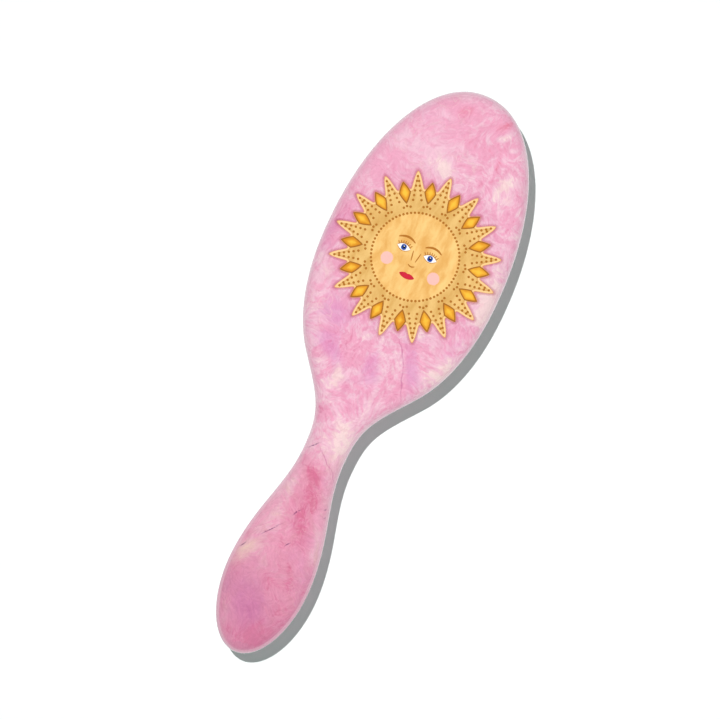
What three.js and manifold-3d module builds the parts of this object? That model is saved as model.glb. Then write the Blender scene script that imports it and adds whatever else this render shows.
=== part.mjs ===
// A vanity hairbrush: an oval, flat-backed head and a waisted handle moulded as two shells, with a
// rubber air cushion in the head and ball-tipped pins through it.
// Millimetres. +X runs along the brush towards the head's tip, +Y across it, +Z towards the back.
// The origin is under the middle of the brush, at the height of the lowest pin tips.
import * as THREE from "three";
import { mergeVertices } from "three/addons/utils/BufferGeometryUtils.js";
import Module from "manifold-3d";

const wasm = await Module();
wasm.setup();

// ---- driving dimensions ----
const LENGTH = 225;
const TIP_X = LENGTH / 2;
const END_X = -LENGTH / 2;
const HEAD_X = 45.3; // where the head is widest
const HEAD_HALF = 34.7;
const HEAD_POWER = 2.1; // superellipse power of the head's upper end
const LOWER_REACH = 57.4; // how far below HEAD_X the head's lower end would close
const LOWER_POWER = 2.155;
const HANDLE_X = -82; // where the handle is widest
const HANDLE_HALF = 16.1;
// [x, half width, slope] where the neck's curve passes, from the handle up to the head
const NECK = [
  [HANDLE_X, HANDLE_HALF, 0],
  [-56, 12.1, -0.27],
  [-33.3, 8.1, 0],
  [-17.8, 10.5, 0.42],
];
const SHOULDER_X = 0; // where the neck's curve meets the head's lower end
const TIP_FOOT_X = 90; // the spine ends here, so that the head's tip is rounded evenly
const END_FOOT_X = END_X + HANDLE_HALF ** 2 / (HANDLE_X - END_X);

const WALL = 2.2;
const GAP = 0.3; // between pieces that touch

const PIN_REACH = 17; // from the cushion to a pin's tip
const PIN_ROOT_R = 0.75;
const PIN_NECK_R = 0.6;
const BALL_R = 0.95;
const PIN_PITCH = 5.2;
const COLUMN_PITCH = 4.4;
const COLUMNS_EACH_SIDE = 5;
const PIN_HOLE = 2.5; // side of the square hole round a pin
const PIN_FIELD = 0.86; // share of the cushion that holds pins
const STRIP_WIDTH = 1.6;
const STRIP_HEIGHT = 1.2;
const STRIP_LIFT = 1; // between the cushion and the strip behind it

const CUSHION_X = 45;
const CUSHION_UP = 59; // from CUSHION_X to the cushion's upper end
const CUSHION_DOWN = 44;
const CUSHION_HALF = 27.2;
const CUSHION_RISE = 6.1;
const CROWN_SHARE = 0.68; // share of its outline inside which the dome is flat
const DOME_POWER = 2.5; // how square-shouldered the dome is outside that
const CUSHION_THICK = 1.3;
const FLANGE = 2.8;
const FIT = 0.4; // between the cushion's dome and the frame's opening
const RING_THICK = 2.2;
const SHEET_SHARE = 0.9; // of the cushion's outline, for the sheet behind the pins
const SHEET_THICK = 1;
const SHEET_LIFT = 0.8;

// ---- heights, from the pin tips up ----
const FLANGE_Z = PIN_REACH + CUSHION_RISE;
const FRAME_INNER_Z = FLANGE_Z - GAP;
const FRAME_FACE_Z = FRAME_INNER_Z - WALL;
const RING_Z = FLANGE_Z + CUSHION_THICK + GAP;
const RIB_LOW_Z = RING_Z + RING_THICK + GAP;
const PARTING_Z = RIB_LOW_Z + GAP;
const HEAD_FRONT = PARTING_Z - FRAME_FACE_Z; // depth of the head's front below the parting plane
const HANDLE_FRONT = 9.6;
const HEAD_BACK = 7;
const HANDLE_BACK = 6.8;
const HEAD_EDGE = 7.5; // width of the rounded edge, seen from above
const HANDLE_EDGE = 17;
const EDGE_POWER = 2.4;
const SQUARE_POWER = 8; // of the inside corner that clears the cushion's flange
const FRAME_SIDE = 3.6; // thickness of the frame's side wall
const PEG_XS = [-92, -66, -40, -10]; // where the frame's pegs enter the cover's bosses
const PEG_R = 1.4;
const PEG_STAND = 2.4; // above the parting plane
const BOSS_R = 3;
const BOSS_BORE_R = 1.8;
const RIB = 2.4;
const RIB_COUNT = 8;
const LIP = { from: 2.7, to: FRAME_SIDE, height: 0.8 }; // the step that seats the cover

// ---- small helpers ----
const clamp = (t, low, high) => Math.min(high, Math.max(low, t));
const mix = (a, b, t) => a + (b - a) * t;
const ease = (t) => t * t * (3 - 2 * t);
// 1 on the head, 0 on the handle
const headness = (x) => ease(clamp((x + 60) / 55, 0, 1));
// The quarter of a superellipse: 0 at t = 0, 1 at t = 1.
const bulge = (t, power) => (1 - (1 - clamp(t, 0, 1)) ** power) ** (1 / power);

// The cubic between two stations [x, value, slope], and its slope.
function hermite(x, [x0, y0, m0], [x1, y1, m1]) {
  const d = x1 - x0;
  const t = (x - x0) / d;
  const y =
    y0 * (2 * t ** 3 - 3 * t ** 2 + 1) +
    y1 * (3 * t ** 2 - 2 * t ** 3) +
    d * m0 * (t ** 3 - 2 * t ** 2 + t) +
    d * m1 * (t ** 3 - t ** 2);
  const slope =
    ((y1 - y0) * (6 * t - 6 * t ** 2)) / d +
    m0 * (3 * t ** 2 - 4 * t + 1) +
    m1 * (3 * t ** 2 - 2 * t);
  return [y, slope];
}

// Half width of the brush and its slope below HEAD_X and above HANDLE_X.
function middle(x) {
  const q = (HEAD_X - x) / LOWER_REACH;
  const left = 1 - q ** LOWER_POWER;
  const egg = (s) => [
    HEAD_HALF * s ** (1 / LOWER_POWER),
    (HEAD_HALF * s ** (1 / LOWER_POWER - 1) * q ** (LOWER_POWER - 1)) / LOWER_REACH,
  ];
  if (x >= SHOULDER_X) return egg(left);
  const i = NECK.findIndex(([at], n) => n > 0 && x < at);
  if (i > 0) return hermite(x, NECK[i - 1], NECK[i]);
  const [y, slope] = middle(SHOULDER_X);
  return hermite(x, NECK[NECK.length - 1], [SHOULDER_X, y, slope]);
}

// One side of the outline from the head's tip to the handle's end: each point with its spine foot,
// which is where the line square to the outline meets the brush's axis.
function halfOutline() {
  const points = [];
  const tipSteps = 9;
  for (let i = 0; i < tipSteps; i += 1) {
    const a = (i / tipSteps) * (Math.PI / 2);
    const reach = TIP_X - HEAD_X;
    const x = HEAD_X + reach * Math.cos(a) ** (2 / HEAD_POWER);
    const y = HEAD_HALF * Math.sin(a) ** (2 / HEAD_POWER);
    const run = y ** (HEAD_POWER - 1) / HEAD_HALF ** HEAD_POWER;
    const rise = (x - HEAD_X) ** (HEAD_POWER - 1) / reach ** HEAD_POWER;
    points.push({ x, y, foot: y > 0 ? x - (y * rise) / run : TIP_FOOT_X });
  }
  const middleSteps = 18;
  for (let i = 0; i < middleSteps; i += 1) {
    const x = mix(HEAD_X, HANDLE_X, i / middleSteps);
    const [y, slope] = middle(x);
    points.push({ x, y, foot: x + y * slope });
  }
  const endSteps = 6;
  for (let i = 0; i <= endSteps; i += 1) {
    const a = (i / endSteps) * (Math.PI / 2);
    const reach = HANDLE_X - END_X;
    const x = HANDLE_X - reach * Math.sin(a);
    const y = HANDLE_HALF * Math.cos(a);
    points.push({ x, y, foot: HANDLE_X - (HANDLE_X - END_FOOT_X) * Math.sin(a) });
  }
  for (const p of points) p.foot = clamp(p.foot, END_FOOT_X, TIP_FOOT_X);
  points[points.length - 1].y = 0;
  return points;
}

const HALF = halfOutline();
const OUTLINE = [
  ...HALF,
  ...HALF.slice(1, -1)
    .reverse()
    .map((p) => ({ ...p, y: -p.y })),
];

// The outline's points moved inwards by inset, at most to the spine, with z from height(x, share),
// where share is how much of the edge's width the point has crossed.
function ring(inset, from, edge, height) {
  return OUTLINE.map((p) => {
    const depth = Math.hypot(p.x - p.foot, p.y);
    const t = clamp(inset / depth, 0, 1);
    const x = mix(p.x, p.foot, t);
    const y = mix(p.y, 0, t);
    const width = Math.min(edge(p.x), depth) - from;
    return [x, y, height(x, width > 0 ? (inset - from) / width : 1)];
  });
}

// Insets across a rounded edge, closer together towards its rim, where it turns fastest.
function edgeInsets(from, to, steps) {
  const share = (i) => 1 - Math.cos(((i / steps) * Math.PI) / 2);
  return Array.from({ length: steps + 1 }, (_, i) => mix(from, to, share(i)));
}

// Sweeps a closed surface through rings of points. The first and last rings close on themselves.
function loft(rings) {
  const count = rings[0].length;
  const index = [];
  for (let j = 0; j + 1 < rings.length; j += 1) {
    for (let i = 0; i < count; i += 1) {
      const a = j * count + i;
      const b = j * count + ((i + 1) % count);
      index.push(a, b, a + count, b, b + count, a + count);
    }
  }
  const geometry = new THREE.BufferGeometry();
  geometry.setAttribute("position", new THREE.Float32BufferAttribute(rings.flat(2), 3));
  geometry.setIndex(index);
  return geometry;
}

// A closed geometry as a manifold-3d solid, facing out whichever way it was wound.
function solid(geometry) {
  const bare = geometry.clone();
  bare.deleteAttribute("normal");
  bare.deleteAttribute("uv");
  const merged = mergeVertices(bare, 1e-4);
  const at = merged.attributes.position;
  const triangles = [];
  let volume = 0;
  for (let i = 0; i < merged.index.count; i += 3) {
    const [a, b, c] = [0, 1, 2].map((k) => merged.index.getX(i + k));
    if (a === b || b === c || c === a) continue;
    triangles.push([a, b, c]);
    const [p, q, r] = [a, b, c].map((k) => new THREE.Vector3().fromBufferAttribute(at, k));
    volume += p.dot(q.cross(r));
  }
  const facing = volume < 0 ? triangles.map(([a, b, c]) => [a, c, b]) : triangles;
  return new wasm.Manifold(
    new wasm.Mesh({
      numProp: 3,
      vertProperties: new Float32Array(at.array),
      triVerts: new Uint32Array(facing.flat()),
    }),
  );
}

function geometryOf(manifold) {
  const mesh = manifold.getMesh();
  const geometry = new THREE.BufferGeometry();
  geometry.setAttribute("position", new THREE.Float32BufferAttribute(mesh.vertProperties, 3));
  geometry.setIndex(new THREE.Uint32BufferAttribute(mesh.triVerts, 1));
  geometry.computeVertexNormals();
  return geometry;
}

// ---- the cushion's egg-shaped outline and dome ----
const EGG_STEPS = 32;
const eggReach = (x) => (x > CUSHION_X ? CUSHION_UP : CUSHION_DOWN);
const eggShare = (x, y) => Math.hypot((x - CUSHION_X) / eggReach(x), y / CUSHION_HALF);
const domeDrop = (share) =>
  CUSHION_RISE * (1 - clamp((share - CROWN_SHARE) / (1 - CROWN_SHARE), 0, 1) ** DOME_POWER);
// Height of the cushion's outer face over a point.
const cushionZ = (x, y) => FLANGE_Z - domeDrop(eggShare(x, y));

function eggRing(share, grow, height) {
  return Array.from({ length: EGG_STEPS }, (_, i) => {
    const a = (i / EGG_STEPS) * 2 * Math.PI;
    const reach = Math.cos(a) > 0 ? CUSHION_UP : CUSHION_DOWN;
    return [
      CUSHION_X + (reach * share + grow) * Math.cos(a),
      (CUSHION_HALF * share + grow) * Math.sin(a),
      height(share),
    ];
  });
}

// An egg-shaped plate between two heights, grown outwards by grow.
function eggPlate(grow, low, high) {
  return loft([
    eggRing(0, 0, () => low),
    eggRing(1, grow, () => low),
    eggRing(1, grow, () => high),
    eggRing(0, 0, () => high),
  ]);
}

// ---- pins ----
const columnY = (k) => k * COLUMN_PITCH;

// Where the pins of column k stand: alternate columns are half a pitch out of step.
function pinPlaces(k) {
  const y = columnY(k);
  const offset = k % 2 ? PIN_PITCH / 2 : 0;
  const most = Math.ceil(CUSHION_UP / PIN_PITCH);
  const places = [];
  for (let i = -most; i <= most; i += 1) {
    const x = CUSHION_X + offset + i * PIN_PITCH;
    if (eggShare(x, y) <= PIN_FIELD) places.push([x, y]);
  }
  return places;
}

const COLUMNS = Array.from({ length: 2 * COLUMNS_EACH_SIDE + 1 }, (_, i) => i - COLUMNS_EACH_SIDE);

const box = (size, centre) => new THREE.BoxGeometry(...size).translate(...centre);

const rod = (radius, low, high, x, y, sides = 8) =>
  new THREE.CylinderGeometry(radius, radius, high - low, sides)
    .rotateX(Math.PI / 2)
    .translate(x, y, (low + high) / 2);

// One ball-tipped pin, turned about its own axis, from its tip up to the middle of its strip.
function pin([x, y]) {
  const tip = cushionZ(x, y) - PIN_REACH;
  const root = stripLow(x, y) + STRIP_HEIGHT / 2;
  const profile = [
    [0, 0],
    [BALL_R, BALL_R * 0.8],
    [PIN_NECK_R, BALL_R * 2],
    [PIN_ROOT_R, root - tip],
    [0, root - tip],
  ].map(([r, z]) => new THREE.Vector2(r, z));
  return new THREE.LatheGeometry(profile, 5).rotateX(Math.PI / 2).translate(x, y, tip);
}

// Underside of the strip that joins a column's pins, behind the cushion.
const stripLow = (x, y) => cushionZ(x, y) + CUSHION_THICK + STRIP_LIFT;

function strip(places) {
  const y = places[0][1];
  const first = places[0][0] - 1;
  const last = places[places.length - 1][0] + 1;
  const stations = [first, ...places.map(([x]) => x), last];
  const section = (x, half) => {
    const z = stripLow(x, y);
    return [
      [x, y - half, z],
      [x, y + half, z],
      [x, y + half, z + STRIP_HEIGHT],
      [x, y - half, z + STRIP_HEIGHT],
    ];
  };
  const cap = (x) => {
    const centre = [x, y, stripLow(x, y) + STRIP_HEIGHT / 2];
    return [centre, centre, centre, centre];
  };
  return loft([cap(first), ...stations.map((x) => section(x, STRIP_WIDTH / 2)), cap(last)]);
}

function bristleColumn(k) {
  const places = pinPlaces(k);
  return places.reduce((joined, place) => joined.add(solid(pin(place))), solid(strip(places)));
}

// ---- shells ----
const edgeWidth = (x) => mix(HANDLE_EDGE, HEAD_EDGE, headness(x));
const backHeight = (x) => mix(HANDLE_BACK, HEAD_BACK, headness(x));
const frontDepth = (x) => mix(HANDLE_FRONT, HEAD_FRONT, headness(x));
const innerPower = (x) => mix(EDGE_POWER, SQUARE_POWER, headness(x));
const WIDEST = HEAD_HALF * 2; // past every spine foot

// Rings from the spine's outer face, over the rounded edge to the rim, and back inside to the spine.
function shellRings(sign, sideWall, height, power, rim) {
  const outer = (x, t) => PARTING_Z + sign * (GAP / 2 + height(x) * bulge(t, EDGE_POWER));
  const inner = (x, t) => PARTING_Z + sign * (GAP / 2 + (height(x) - WALL) * bulge(t, power(x)));
  const insets = edgeInsets(0, HEAD_EDGE, 4);
  const insideInsets = edgeInsets(sideWall, HEAD_EDGE + 1, 3);
  return [
    ring(WIDEST, 0, edgeWidth, outer),
    ring(HANDLE_EDGE * 0.72, 0, edgeWidth, outer),
    ...insets.reverse().map((d) => ring(d, 0, edgeWidth, outer)),
    ...rim,
    ...insideInsets.map((d) => ring(d, sideWall, edgeWidth, inner)),
    ring(HANDLE_EDGE * 0.8, sideWall, edgeWidth, inner),
    ring(WIDEST, sideWall, edgeWidth, inner),
  ];
}

// Underside of the cover along its middle.
const ceilingZ = (x) => PARTING_Z + GAP / 2 + backHeight(x) - WALL;

// Where the ribs that hold the clamp ring down stand, over the middle of the ring's width.
function ribPlaces() {
  return Array.from({ length: RIB_COUNT }, (_, i) => {
    const a = ((i + 0.5) / RIB_COUNT) * 2 * Math.PI;
    const reach = Math.cos(a) > 0 ? CUSHION_UP : CUSHION_DOWN;
    const grow = (FIT + FLANGE) / 2;
    return [CUSHION_X + (reach + grow) * Math.cos(a), (CUSHION_HALF + grow) * Math.sin(a)];
  });
}

function backCover() {
  let cover = solid(loft(shellRings(1, WALL, backHeight, () => EDGE_POWER, [])));
  const bossLow = PARTING_Z + GAP;
  for (const x of PEG_XS) {
    const boss = solid(rod(BOSS_R, bossLow, ceilingZ(x) + 1, x, 0));
    const bore = solid(rod(BOSS_BORE_R, bossLow - 1, ceilingZ(x), x, 0));
    cover = cover.add(boss).subtract(bore);
  }
  for (const [x, y] of ribPlaces()) {
    const high = ceilingZ(x) + 1;
    cover = cover.add(solid(box([RIB, RIB, high - RIB_LOW_Z], [x, y, (RIB_LOW_Z + high) / 2])));
  }
  return cover;
}

function frontFrame() {
  const rimZ = () => PARTING_Z - GAP / 2;
  const lipZ = () => PARTING_Z + LIP.height;
  const rim = [
    ring(LIP.from, 0, edgeWidth, rimZ),
    ring(LIP.from, 0, edgeWidth, lipZ),
    ring(LIP.to, 0, edgeWidth, lipZ),
  ];
  let frame = solid(loft(shellRings(-1, FRAME_SIDE, frontDepth, innerPower, rim)));
  frame = frame.subtract(solid(eggPlate(FIT, FRAME_FACE_Z - 1, PARTING_Z + 2)));
  for (const x of PEG_XS) {
    const floor = PARTING_Z - frontDepth(x) + WALL - 1;
    frame = frame.add(solid(rod(PEG_R, floor, PARTING_Z + PEG_STAND, x, 0)));
  }
  return frame;
}

// ---- soft and clamped parts ----
function cushionPad() {
  const shares = [CROWN_SHARE, 0.82, 0.9, 0.95, 1];
  const outer = (share) => FLANGE_Z - domeDrop(share);
  const inner = (share) => outer(share) + CUSHION_THICK;
  let pad = solid(
    loft([
      eggRing(0, 0, outer),
      ...shares.map((s) => eggRing(s, 0, outer)),
      eggRing(1, FLANGE, () => FLANGE_Z),
      eggRing(1, FLANGE, () => FLANGE_Z + CUSHION_THICK),
      ...shares.reverse().map((s) => eggRing(s, 0, inner)),
      eggRing(0, 0, inner),
    ]),
  );
  for (const k of COLUMNS) {
    for (const [x, y] of pinPlaces(k)) {
      const z = cushionZ(x, y) + CUSHION_THICK / 2;
      pad = pad.subtract(solid(box([PIN_HOLE, PIN_HOLE, 6], [x, y, z])));
    }
  }
  const ventX = CUSHION_X - CUSHION_DOWN * 0.91;
  return pad.subtract(solid(rod(0.8, PIN_REACH, FLANGE_Z + 3, ventX, 0, 6)));
}

function padClampRing() {
  const plate = solid(eggPlate(FLANGE, RING_Z, RING_Z + RING_THICK));
  return plate.subtract(solid(eggPlate(FIT, RING_Z - 1, RING_Z + RING_THICK + 1)));
}

// A sheet that follows the cushion's dome behind the pins' strips.
function pinBackingSheet() {
  const shares = [CROWN_SHARE, 0.8, SHEET_SHARE];
  const low = (share) =>
    FLANGE_Z - domeDrop(share) + CUSHION_THICK + STRIP_LIFT + STRIP_HEIGHT + SHEET_LIFT;
  const high = (share) => low(share) + SHEET_THICK;
  return solid(
    loft([
      eggRing(0, 0, low),
      ...shares.map((s) => eggRing(s, 0, low)),
      ...shares.reverse().map((s) => eggRing(s, 0, high)),
      eggRing(0, 0, high),
    ]),
  );
}

// ---- materials and assembly ----
const FINISHES = {
  marbled: { color: 0xf0a9c6, roughness: 0.28, metalness: 0 },
  frame: { color: 0xeeb0c8, roughness: 0.4, metalness: 0 },
  cushion: { color: 0xf7dfe2, roughness: 0.7, metalness: 0 },
  nylon: { color: 0xf6e6ea, roughness: 0.35, metalness: 0 },
  clamp: { color: 0xe9e2e0, roughness: 0.5, metalness: 0 },
  backing: { color: 0xd8c6c4, roughness: 0.8, metalness: 0 },
};
const material = Object.fromEntries(
  Object.entries(FINISHES).map(([name, finish]) => [name, new THREE.MeshStandardMaterial(finish)]),
);

const brush = new THREE.Group();

function addPart(name, manifold, finish) {
  const mesh = new THREE.Mesh(geometryOf(manifold), finish);
  mesh.name = name;
  brush.add(mesh);
}

addPart("back_cover", backCover(), material.marbled);
addPart("front_frame", frontFrame(), material.frame);
addPart("cushion_pad", cushionPad(), material.cushion);
addPart("pad_clamp_ring", padClampRing(), material.clamp);
addPart("pin_backing_sheet", pinBackingSheet(), material.backing);
COLUMNS.forEach((k, i) => {
  addPart(`bristle_column_${String(i + 1).padStart(2, "0")}`, bristleColumn(k), material.nylon);
});

export default brush;
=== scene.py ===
"""A vanity hairbrush lying on its pins, seen from above: marbled pink back with a gold sun on it.

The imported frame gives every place. Shapes are worked out in millimetres and stored in metres.
x runs along the brush towards the head's tip, y across it and z from the pin tips to the back.
"""

import bmesh
import bpy
import math
import numpy as np
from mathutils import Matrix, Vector


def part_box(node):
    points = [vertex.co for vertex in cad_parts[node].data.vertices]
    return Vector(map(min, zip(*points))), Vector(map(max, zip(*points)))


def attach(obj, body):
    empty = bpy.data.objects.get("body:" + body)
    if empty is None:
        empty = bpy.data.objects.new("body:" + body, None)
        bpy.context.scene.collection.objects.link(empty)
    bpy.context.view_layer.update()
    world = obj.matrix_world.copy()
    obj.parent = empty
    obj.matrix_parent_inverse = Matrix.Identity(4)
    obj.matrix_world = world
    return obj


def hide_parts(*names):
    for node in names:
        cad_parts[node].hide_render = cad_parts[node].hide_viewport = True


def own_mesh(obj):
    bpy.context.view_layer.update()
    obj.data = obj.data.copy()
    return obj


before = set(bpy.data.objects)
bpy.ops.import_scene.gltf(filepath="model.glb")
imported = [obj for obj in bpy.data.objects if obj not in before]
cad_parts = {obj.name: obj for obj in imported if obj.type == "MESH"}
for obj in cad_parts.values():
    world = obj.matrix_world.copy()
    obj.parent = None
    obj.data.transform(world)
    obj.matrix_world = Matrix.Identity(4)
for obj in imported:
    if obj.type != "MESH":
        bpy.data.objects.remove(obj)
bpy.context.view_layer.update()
MM = 0.001


def box_mm(node):
    """Lowest and highest corner of a node of the frame, in millimetres."""
    low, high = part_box(node)
    return np.array(low) / MM, np.array(high) / MM


# ---- places read from the frame ----
COVER_LOW, COVER_HIGH = box_mm("back_cover")
PAD_LOW, PAD_HIGH = box_mm("cushion_pad")
END_X, TIP_X = COVER_LOW[0], COVER_HIGH[0]
HEAD_HALF = COVER_HIGH[1]
BACK_Z = COVER_HIGH[2]

# ---- the outline: see outline() ----
HEAD_X = 45.3  # where the head is widest
HEAD_POWER = 2.1
LOWER_REACH = 57.4
LOWER_POWER = 2.155
HANDLE_X = -82.0  # where the handle is widest
HANDLE_HALF = 16.1
NECK = [(HANDLE_X, HANDLE_HALF, 0.0), (-56.0, 12.1, -0.27), (-33.3, 8.1, 0.0), (-17.8, 10.5, 0.42)]
TIP_FOOT_X = 90.0
END_FOOT_X = END_X + HANDLE_HALF**2 / (HANDLE_X - END_X)

# ---- the shells ----
HEAD_BACK = 7.0  # height of the back over the parting plane
HANDLE_BACK = 6.8
HANDLE_FRONT = 9.6
HEAD_EDGE = 7.5  # width of the rounded edge, seen from above
HANDLE_EDGE = 17.0
EDGE_POWER = 2.4
WALL = 2.2
FRAME_SIDE = 3.6
PARTING_GAP = 0.3
PARTING_Z = BACK_Z - HEAD_BACK - PARTING_GAP / 2
PEG_XS = (-92.0, -66.0, -40.0, -10.0)

# ---- the cushion and its pins ----
CUSHION_X = 45.0
CUSHION_UP = 59.0
CUSHION_DOWN = 44.0
CUSHION_HALF = 27.2
CUSHION_THICK = 1.3
FLANGE = 2.8
CROWN_SHARE = 0.68
DOME_POWER = 2.5
FLANGE_Z = PAD_HIGH[2] - CUSHION_THICK
CUSHION_RISE = FLANGE_Z - PAD_LOW[2]
FRAME_INNER_Z = FLANGE_Z - PARTING_GAP
HEAD_FRONT = PARTING_Z - FRAME_INNER_Z + WALL
OPENING_FIT = 0.4
PIN_REACH = PAD_LOW[2]
PIN_PITCH = 5.2
COLUMN_PITCH = 4.4
PIN_FIELD = 0.86
PIN_ROOT_R = 0.75
PIN_NECK_R = 0.6
BALL_R = 0.95
STRIP_LIFT = 1.0
STRIP_HALF = 0.8
STRIP_HEIGHT = 1.2

# ---- the sun ----
SUN_X = 47.5
SUN_RAYS = 16  # of each of its two kinds
GEM_RAY_R = 28.9
DOT_RAY_R = 33.2
VALLEY_R = 24.2
FACE_RING_R = 16.3
FILM = 0.12  # thickness of the sun's film
SUNK = -0.3  # how far raised pieces reach under the surface that they sit on
# height of the painted shadow band round the sun over the back
SHADOW_BAND_LIFT = 0.04
RIM_POINTS = 768
BLUNT_REACH = 36  # steps of 4096 round the sun
BLUNT_SPREAD = 13
GEM_R = 24.0
GEM_HALF_LENGTH = 4.2
GEM_HALF_WIDTH = 2.25
GEM_RISE = 0.75
GEM_POWER = 1.7
DOT_R = 0.48
DOT_RISE = 0.16
RING_DOTS = 72
EYE_UP = 1.6
EYE_SIDE = 5.3
EYE_WIDTH = 5.3
EYE_HEIGHT = 2.7
EYE_DISCS = [  # name, radius, height over the film, how far over the eye's middle
    ("sun_irises", 1.12, 0.2, 0.0),
    ("sun_pupils", 0.55, 0.27, 0.0),
    ("sun_glints", 0.2, 0.34, 0.35),
]
NOSE_UP = -3.4
MOUTH_UP = -7.6
CHEEK_UP = -4.6
CHEEK_SIDE = 9.4

# ---- floor, light and camera ----
FLOOR_REACH = 3.0  # metres
FLOOR_TINT = (0.8, 0.84, 0.828, 1.0)
FLOOR_GLOW = (0.0, 0.052, 0.036, 1.0)
SKY_POWER = 0.155
SUN_POWER = math.pi * 1.006
FILL_POWER = math.pi * 0.2
FILL_TOWARDS = (0.4, 0.8, -0.55)
SUN_TOWARDS = (-2.26, -3.87, -27.0)
LENS = 1000.0
VIEW_WIDTH = 265.6
VIEW_X, VIEW_Y = 4.5, 2.6
VIEW_TURN = 65.3


# ---- meshes ----
def mesh_object(name, vertices, faces, smooth_angle=35, values=None):
    """A mesh object from points in millimetres, with doubles merged, faces turned outwards, shaded
    smooth up to an angle, and values as one number per point under each name."""
    mesh = bpy.data.meshes.new(name)
    mesh.from_pydata((np.asarray(vertices, float) * MM).tolist(), [], np.asarray(faces).tolist())
    for key, numbers in (values or {}).items():
        layer = mesh.attributes.new(key, "FLOAT", "POINT")
        layer.data.foreach_set("value", np.asarray(numbers, np.float32))
    work = bmesh.new()
    work.from_mesh(mesh)
    bmesh.ops.remove_doubles(work, verts=work.verts, dist=1e-7)
    bmesh.ops.dissolve_degenerate(work, edges=work.edges, dist=1e-7)
    bmesh.ops.recalc_face_normals(work, faces=work.faces)
    work.to_mesh(mesh)
    work.free()
    mesh.shade_smooth()
    mesh.set_sharp_from_angle(angle=math.radians(smooth_angle))
    piece = bpy.data.objects.new(name, mesh)
    bpy.context.scene.collection.objects.link(piece)
    return piece


def grid_faces(rows, columns, wrap=True, flip=False):
    """Quads of a grid of rows by columns points, joined round its columns if wrap."""
    across = np.arange(columns if wrap else columns - 1)
    down = np.arange(rows - 1)[:, None]
    a = down * columns + across
    b = down * columns + (across + 1) % columns
    quads = np.stack([a, b, b + columns, a + columns], -1).reshape(-1, 4)
    return quads[:, ::-1] if flip else quads


def joined(parts):
    """One array of points and one of faces from several."""
    starts = np.cumsum([0] + [len(points) for points, _ in parts])
    faces = [np.asarray(quads) + start for (_, quads), start in zip(parts, starts)]
    return np.concatenate([points for points, _ in parts]), np.concatenate(faces)


def ease(t):
    """The smooth step from 0 to 1."""
    t = np.clip(t, 0, 1)
    return t * t * (3 - 2 * t)


def bulge(t, power):
    """The quarter of a superellipse: 0 at t = 0, 1 at t = 1, upright at 0 and level at 1."""
    return (1 - (1 - np.clip(t, 0, 1)) ** power) ** (1 / power)


def headness(x):
    """1 on the head and 0 on the handle."""
    return ease((x + 60) / 55)


def mix(a, b, t):
    """The value between two, a at t = 0 and b at t = 1."""
    return a + (b - a) * t


def round_turn(count):
    """Evenly spaced angles of a full turn."""
    return np.arange(count) / count * 2 * math.pi


# ---- the outline ----
def hermite(x, first, last):
    """The cubic between two stations (x, value, slope)."""
    (x0, y0, m0), (x1, y1, m1) = first, last
    reach = x1 - x0
    t = (x - x0) / reach
    return (
        y0 * (2 * t**3 - 3 * t**2 + 1)
        + y1 * (3 * t**2 - 2 * t**3)
        + reach * m0 * (t**3 - 2 * t**2 + t)
        + reach * m1 * (t**3 - t**2)
    )


def half_width(x):
    """Half the width from the handle's widest place to the head's: the side of a superellipse for
    x over 0, and cubics through NECK below."""
    q = np.clip((HEAD_X - x) / LOWER_REACH, 0, 1)
    egg = HEAD_HALF * (1 - q**LOWER_POWER) ** (1 / LOWER_POWER)
    q0 = HEAD_X / LOWER_REACH
    left = 1 - q0**LOWER_POWER
    y0 = HEAD_HALF * left ** (1 / LOWER_POWER)
    slope = y0 / left * q0 ** (LOWER_POWER - 1) / LOWER_REACH
    stations = NECK + [(0.0, y0, slope)]
    spans = list(zip(stations, stations[1:]))
    return np.select([x < last[0] for _, last in spans], [hermite(x, *s) for s in spans], egg)


def outline(half_count):
    """The closed outline as x, y and the spine foot of each point, evenly spaced, from the head's
    tip round +y. A foot is where the line square to the outline meets the axis: x + d(y*y/2)/dx."""
    a = np.linspace(0, math.pi / 2, 600)
    middle = np.linspace(HEAD_X, HANDLE_X, 1800)[1:-1]
    tip_x = HEAD_X + (TIP_X - HEAD_X) * np.cos(a) ** (2 / HEAD_POWER)
    tip_y = HEAD_HALF * np.sin(a) ** (2 / HEAD_POWER)
    end_x = HANDLE_X - (HANDLE_X - END_X) * np.sin(a)
    x = np.concatenate([tip_x, middle, end_x])
    y = np.concatenate([tip_y, half_width(middle), HANDLE_HALF * np.cos(a)])
    foot = np.clip(x + np.gradient(y * y / 2, x), END_FOOT_X, TIP_FOOT_X)
    foot = np.maximum.accumulate(foot[::-1])[::-1]
    along = np.concatenate([[0], np.cumsum(np.hypot(np.diff(x), np.diff(y)))])
    even = np.linspace(0, along[-1], half_count)
    x, y, foot = (np.interp(even, along, values) for values in (x, y, foot))
    y[[0, -1]] = 0
    back = slice(-2, 0, -1)
    return np.append(x, x[back]), np.append(y, -y[back]), np.append(foot, foot[back])


OUT_X, OUT_Y, OUT_FOOT = outline(281)
OPENING_END = CUSHION_X - CUSHION_DOWN - OPENING_FIT
OUT_FOOT[OUT_FOOT == OUT_FOOT[OUT_FOOT < OPENING_END].max()] = OPENING_END
OUT_DEPTH = np.hypot(OUT_X - OUT_FOOT, OUT_Y)
OUT_HEADNESS = headness(OUT_X)
EDGE_WIDTH = np.minimum(mix(HANDLE_EDGE, HEAD_EDGE, OUT_HEADNESS), OUT_DEPTH)
BACK_HEIGHT = mix(HANDLE_BACK, HEAD_BACK, OUT_HEADNESS)
FRONT_DEPTH = mix(HANDLE_FRONT, HEAD_FRONT, OUT_HEADNESS)


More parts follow.
